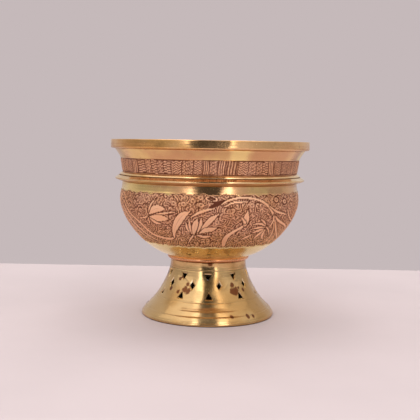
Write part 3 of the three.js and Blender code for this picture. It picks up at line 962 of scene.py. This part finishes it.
def mark_foot(mesh):
    """Writes where the foot is dark, with a painted contact shadow along its bottom edge, where a
    highlight is painted on its bevels, and its stains.
    """
    turn, radius, height = places(mesh)
    # dark lines in the grooves under and over the piercings, and painted contact shadow along the bottom
    # edge
    dark = sum(np.exp(-(((height - z) / w) ** 2)) for z, w in
               ((LOW_LINE, 0.12), (HIGH_LINE, 0.2), (0.1, 0.4)))
    dark *= (height > 1) | (radius > FOOT_RADIUS - 0.4)  # the painted contact shadow stays off the flat underside
    slant = np.cos(np.arctan(np.gradient(FLARE[:, 0], FLARE[:, 1])))
    sunk = (flare_radius(height) - radius) * np.interp(height, FLARE[:, 1], slant)
    inner = np.clip((sunk - BEVEL_IN - 0.03) / 0.08, 0, 1) * (height > SHOULDER)
    write_attribute(mesh, "relief", np.clip(1 - 0.9 * dark - 0.75 * inner, 0, 1))
    # painted highlight: pale brass on the bevels round the piercings
    pierced = (height > LOW_LINE + 1.1) & (height < HIGH_LINE - 1.1)
    write_attribute(mesh, "painted_bevel_highlight", pierced & (sunk > 0.05) & (sunk < BEVEL_IN + 0.06))
    stain = np.zeros(len(height))
    for azimuth, level, size in STAINS:
        apart = np.hypot(((turn - azimuth + 180) % 360 - 180) * DEGREE * radius, height - level)
        stain = np.maximum(stain, 1 - apart / size)
    write_attribute(mesh, "stain", np.clip(stain, 0, 1))


def make_pierced_pedestal(material):
    """A cast, turned foot, pierced, scratched and stained."""
    points, outer = pedestal_outline()
    columns = 480
    degrees = 360 * np.arange(columns) / columns
    rings = Rings(columns)
    for (radius, height), out in zip(points, outer):
        scratched = out and height > LOW_LINE + 1
        raised = chisel_ridges(degrees, height, radius) if scratched else 0.0
        rings.add(radius + 0.13 * raised, height)
    piece = turned("pierced_pedestal_cast", rings)
    cut_piercings(piece)
    mark_foot(piece.data)
    settle(piece, "pierced_pedestal", material)


def make_stud(material):
    """A threaded stud: the crest runs round it as a helix."""
    pitch, depth, columns = 1.0, 0.5, 72
    turn = np.arange(columns) / columns
    rings = Rings(columns)
    rings.add_all([(0, STUD_BOTTOM), (STUD_RADIUS - 0.7, STUD_BOTTOM)])
    for height in np.arange(STUD_BOTTOM + 0.1, STUD_TOP, 0.1):
        phase = (height / pitch - turn) % 1
        crest = 1 - np.clip(np.abs(phase - 0.5) * 2.3 - 0.1, 0, 1)
        ease = min(1.0, (height - STUD_BOTTOM) / 0.6)
        radius = STUD_RADIUS - depth * (1 - crest) - 0.4 * (1 - ease) * crest
        rings.add(radius, height, 0.2 + 0.8 * crest)
    rings.add_all([(STUD_RADIUS - 0.7, STUD_TOP), (0, STUD_TOP)])
    piece = turned("fixing_stud_threaded", rings, closed=False)
    settle(piece, "fixing_stud", material)


def make_washer(material):
    """A flat ring with its edges rounded by the press."""
    hole = STUD_RADIUS + 0.2
    points = outline(
        (hole, WASHER_BOTTOM, 0.15), (WASHER_RADIUS, WASHER_BOTTOM, 0.25),
        (WASHER_RADIUS, WASHER_TOP, 0.15), (hole, WASHER_TOP, 0.15),
    )
    make_plain("fixing_washer_pressed", "fixing_washer", material, points, 96)


def make_nut(material):
    """A hexagon nut with turned chamfers: each ring is the hexagon cut off by a cone."""
    columns = 144
    hole = STUD_RADIUS + 0.2
    angle = 2 * math.pi * np.arange(columns) / columns
    flat = NUT_CORNER * math.cos(math.pi / 6)
    off_flat = (angle - math.pi / 2 + math.pi / 6) % (math.pi / 3) - math.pi / 6
    hexagon = flat / np.cos(off_flat)
    chamfer = 0.75
    rings = Rings(columns)
    rings.add_all([(hole, NUT_BOTTOM + 0.4), (hole + 0.4, NUT_BOTTOM)])
    for height in np.concatenate([np.linspace(NUT_BOTTOM, NUT_BOTTOM + chamfer, 8),
                                  np.linspace(NUT_TOP - chamfer, NUT_TOP, 8)]):
        near_end = min(height - NUT_BOTTOM, NUT_TOP - height)
        cone = flat - 0.15 + near_end * (NUT_CORNER - flat + 0.15) / chamfer
        rings.add(np.minimum(hexagon, cone), height)
    rings.add_all([(hole + 0.4, NUT_TOP), (hole, NUT_TOP - 0.4)])
    piece = turned("fixing_nut_hexagon", rings)
    piece.data.set_sharp_from_angle(angle=25 * DEGREE)
    settle(piece, "fixing_nut", material)


# ---- stage, light and camera

WALL_COLOUR = linear(197, 185, 186)
TABLE_COLOUR = linear(206, 191, 192)
WALL_BACK = 0.165  # metres behind the bowl's axis, where the floor meets the wall


def make_sheet(name, front, back):
    """A level sheet of the stage, 60 m wide, whose matt material is still to be coloured."""
    mesh = bpy.data.meshes.new(name)
    mesh.from_pydata([(-30, front, 0), (30, front, 0), (30, back, 0), (-30, back, 0)],
                     [], [(0, 1, 2, 3)])
    add_object(name, mesh)
    n = Nodes(bpy.data.materials.new(name))
    n.set("Roughness", 0.7)
    mesh.materials.append(n.owner)
    return n


def make_stage():
    """A pale table, plain as far as the wall behind the bowl, and wall-coloured beyond."""
    n = make_sheet("table", -0.35, WALL_BACK)
    y = n.split(n.position())[1]
    grain = n.tint(TABLE_COLOUR, [0.94 * c for c in TABLE_COLOUR], n.noise(9, 4.0), 0.3, 0.7)
    # painted light: the table is painted paler towards its front, mostly out of the camera's view, where
    # the brass mirrors it
    n.set("Base Color", n.tint(grain, linear(240, 224, 227), y, -0.17, -0.24))
    n.set("Specular IOR Level", 0.3)
    n = make_sheet("wall", WALL_BACK, 30.0)
    n.set("Base Color", (0, 0, 0, 1))
    n.set("Emission Color", WALL_COLOUR)
    n.set("Emission Strength", 1.0)
    n.set("Specular IOR Level", 0.0)


# Brightness of the room in front of the bowl, from its left to its right: place and level.
# The first list is at the bowl's own height, and the second above it.
LOW_ROOM = ((-1.2, 0.4), (-0.9, 0.52), (-0.66, 0.7), (-0.56, 0.86), (-0.42, 1.0), (-0.35, 0.1),
            (0.37, 0.1), (0.43, 1.22), (0.52, 0.94), (0.66, 0.8), (0.76, 0.66), (1.2, 0.5))
HIGH_ROOM = ((-1.2, 0.6), (-0.9, 0.78), (-0.7, 0.82), (-0.6, 0.86), (-0.54, 1.7), (-0.41, 2.5),
             (-0.34, 0.1), (0.36, 0.1), (0.42, 2.6), (0.56, 2.0), (0.63, 0.86), (0.76, 0.7),
             (1.2, 0.5))
ROOM_REACH = 1.2  # how far both lists reach to each side
ROOM_BACK = 0.68  # level of the room behind the bowl


def make_world():
    """A room with a dark upright shape in front of the bowl and bright panes on both sides."""
    n = Nodes(bpy.data.worlds.new("room"))
    bpy.context.scene.world = n.owner
    way = n.node("ShaderNodeTexCoord").outputs["Generated"]
    x, y, z = n.split(way)

    def line(value, low, high, to_low=0.0, to_high=1.0):
        return n.ramp(value, low, high, to_low, to_high, "LINEAR")

    # the shape and the panes close in towards the ceiling
    across = n.math("DIVIDE", x, line(z, 0.0, 1.0, 1.0, 0.58))
    share = line(across, -ROOM_REACH, ROOM_REACH)

    def panorama(levels):
        ramp = n.node("ShaderNodeValToRGB", {"Fac": share})
        stops = ramp.color_ramp.elements
        for _ in levels[2:]:
            stops.new(0.5)
        for stop, (place, level) in zip(stops, levels):
            stop.position = 0.5 + 0.5 * place / ROOM_REACH
            stop.color = (level, level * 0.98, level * 0.97, 1)
        return ramp.outputs["Color"]

    ahead = n.blend(line(z, 0.05, 0.25), panorama(LOW_ROOM), panorama(HIGH_ROOM))
    front = n.node("ShaderNodeVectorMath", {0: ahead, 1: line(z, 0.2, 0.9, 0.85, 1.2)},
                   operation="MULTIPLY")
    even = (ROOM_BACK, ROOM_BACK * 0.97, ROOM_BACK * 0.95, 1)
    room = n.blend(line(y, 0.2, 0.5), front.outputs[0], even)
    # what the camera itself sees beyond the table's edge is wall
    seen = n.node("ShaderNodeLightPath").outputs["Is Camera Ray"]
    n.put(n.tree.nodes["Background"].inputs["Color"], n.blend(seen, room, WALL_COLOUR))


DAYLIGHT = (1.0, 0.99, 0.97)


def make_panel(name, azimuth, elevation, distance, width, height, power, tint, mirrored=True):
    """A soft rectangular light that faces the bowl. Azimuth 0 is in front of it.

    One that isn't mirrored lights the scene but doesn't show in polished metal.
    """
    light = bpy.data.lights.new(name, "AREA")
    light.shape = "RECTANGLE"
    light.size, light.size_y = width, height
    light.energy = power
    light.color = tint
    lamp = add_object(name, light)
    lamp.visible_glossy = mirrored
    a, e = azimuth * DEGREE, elevation * DEGREE
    turn = Matrix.Rotation(a, 4, "Z") @ Matrix.Rotation(math.pi / 2 - e, 4, "X")
    middle = Matrix.Translation((0, 0, 0.06))
    lamp.matrix_world = middle @ turn @ Matrix.Translation((0, 0, distance))


def make_camera():
    """Level with the rim, a little way off, tilted down and rolled a trace."""
    data = bpy.data.cameras.new("camera")
    data.sensor_width = 36
    data.lens = 65.1
    data.clip_start = 0.02
    camera = add_object("camera", data)
    place = Matrix.Translation((0.0005, -0.440, 0.0982))
    tilt = Matrix.Rotation((90 - 4.93) * DEGREE, 4, "X")
    roll = Matrix.Rotation(1.0 * DEGREE, 4, "Z")
    camera.matrix_world = place @ tilt @ roll
    bpy.context.scene.camera = camera


make_camera()
make_stage()
make_world()
make_panel("left_panel", -25, 22, 1.1, 0.1, 0.7, 0.5, DAYLIGHT)
make_panel("right_panel", 24, 14, 1.1, 0.1, 0.7, 0.6, DAYLIGHT)
make_panel("top_panel", 180, 72, 1.2, 1.0, 0.8, 6, (1.0, 0.98, 0.98))
make_panel("floor_wash", 0, 46, 1.2, 0.9, 0.9, 3.0, (1.0, 0.99, 0.99), mirrored=False)
make_panel("left_fill", -74, 44, 1.2, 1.1, 1.1, 1.5, DAYLIGHT)
make_panel("right_fill", 76, 44, 1.2, 1.1, 1.1, 1.1, DAYLIGHT)
bpy.context.scene.view_settings.view_transform = "Standard"

PALE = linear(228, 180, 128)
GOLD = linear(216, 162, 98)
BROWN = linear(92, 56, 26)
DARK = linear(54, 33, 18)
polished = turned_metal("polished_brass", PALE, GOLD, BROWN, 0.2, dents=0.5)
waist = turned_metal("waist_brass", linear(240, 202, 152), linear(228, 182, 122), BROWN, 0.2,
                     dents=0.5)
pink = turned_metal("pink_brass", linear(226, 162, 116), linear(212, 146, 98), BROWN, 0.26)
cast = turned_metal("cast_brass", linear(208, 170, 118), linear(194, 150, 94), DARK, 0.2,
                    lines=0.35, dents=0.8, stains=0.9)
engraved = engraved_metal("coppered_brass", linear(216, 166, 120), linear(236, 200, 134), BROWN)
steel = plated_steel("plated_steel")

make_rim_band(polished)
make_neck_collar(engraved)
make_waist_flange(waist)
make_belly_bowl(engraved)
make_base_collar(pink)
make_pierced_pedestal(cast)
make_stud(cast)
make_washer(steel)
make_nut(steel)
